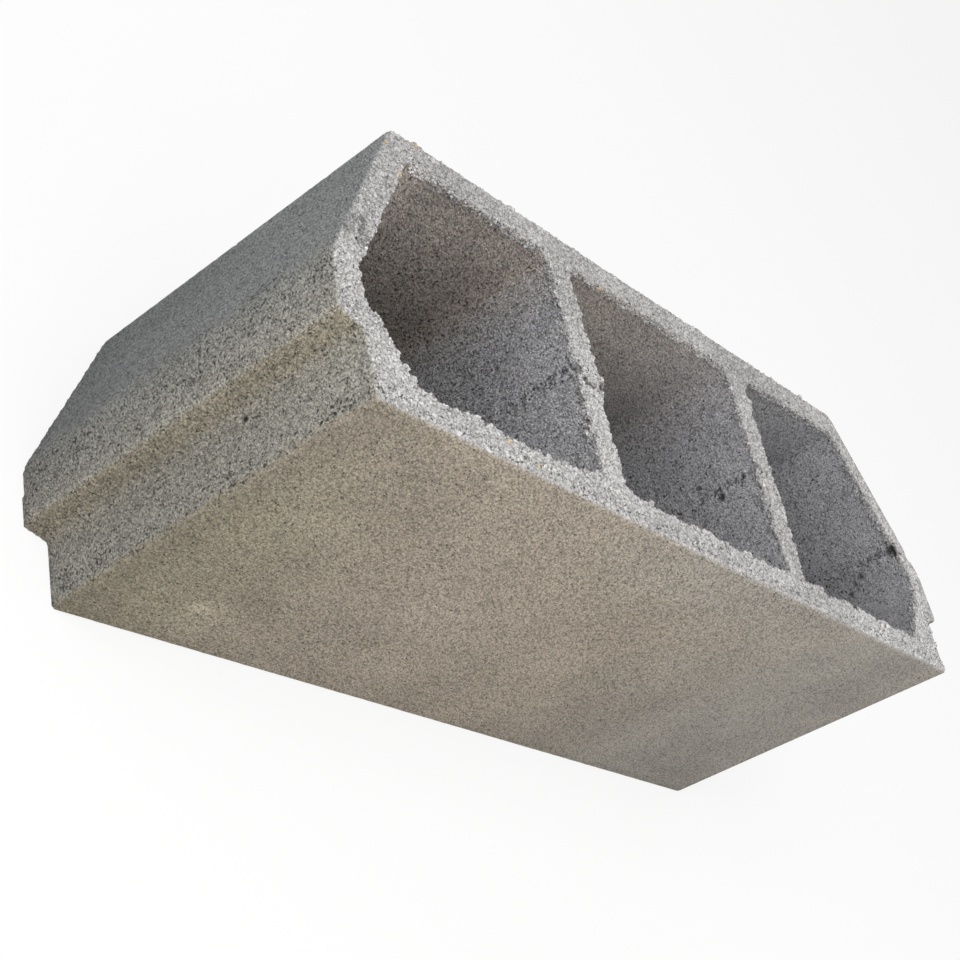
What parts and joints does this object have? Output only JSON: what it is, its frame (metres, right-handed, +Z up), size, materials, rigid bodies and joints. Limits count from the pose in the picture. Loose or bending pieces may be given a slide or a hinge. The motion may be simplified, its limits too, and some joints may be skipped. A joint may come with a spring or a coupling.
{
  "type": "hollow concrete floor block",
  "caption": "Hollow concrete infill block for a beam-and-block floor, with a flat soffit, side nibs that bear on the joists, sloping shoulders and open cells that run right through it.",
  "frame": {"origin": "centre of the bounding box on the end that the block stands on", "axes": "+Z up along the cells, X across the block from nib to nib, -Y out of the flat soffit and +Y out of the flat top"},
  "size_m": [0.6316, 0.2, 0.235],
  "materials": {
    "concrete": "matt, open-grained pressed concrete"
  },
  "bodies": {
    "root": {"floor_block": "concrete"}
  },
  "joints": []
}
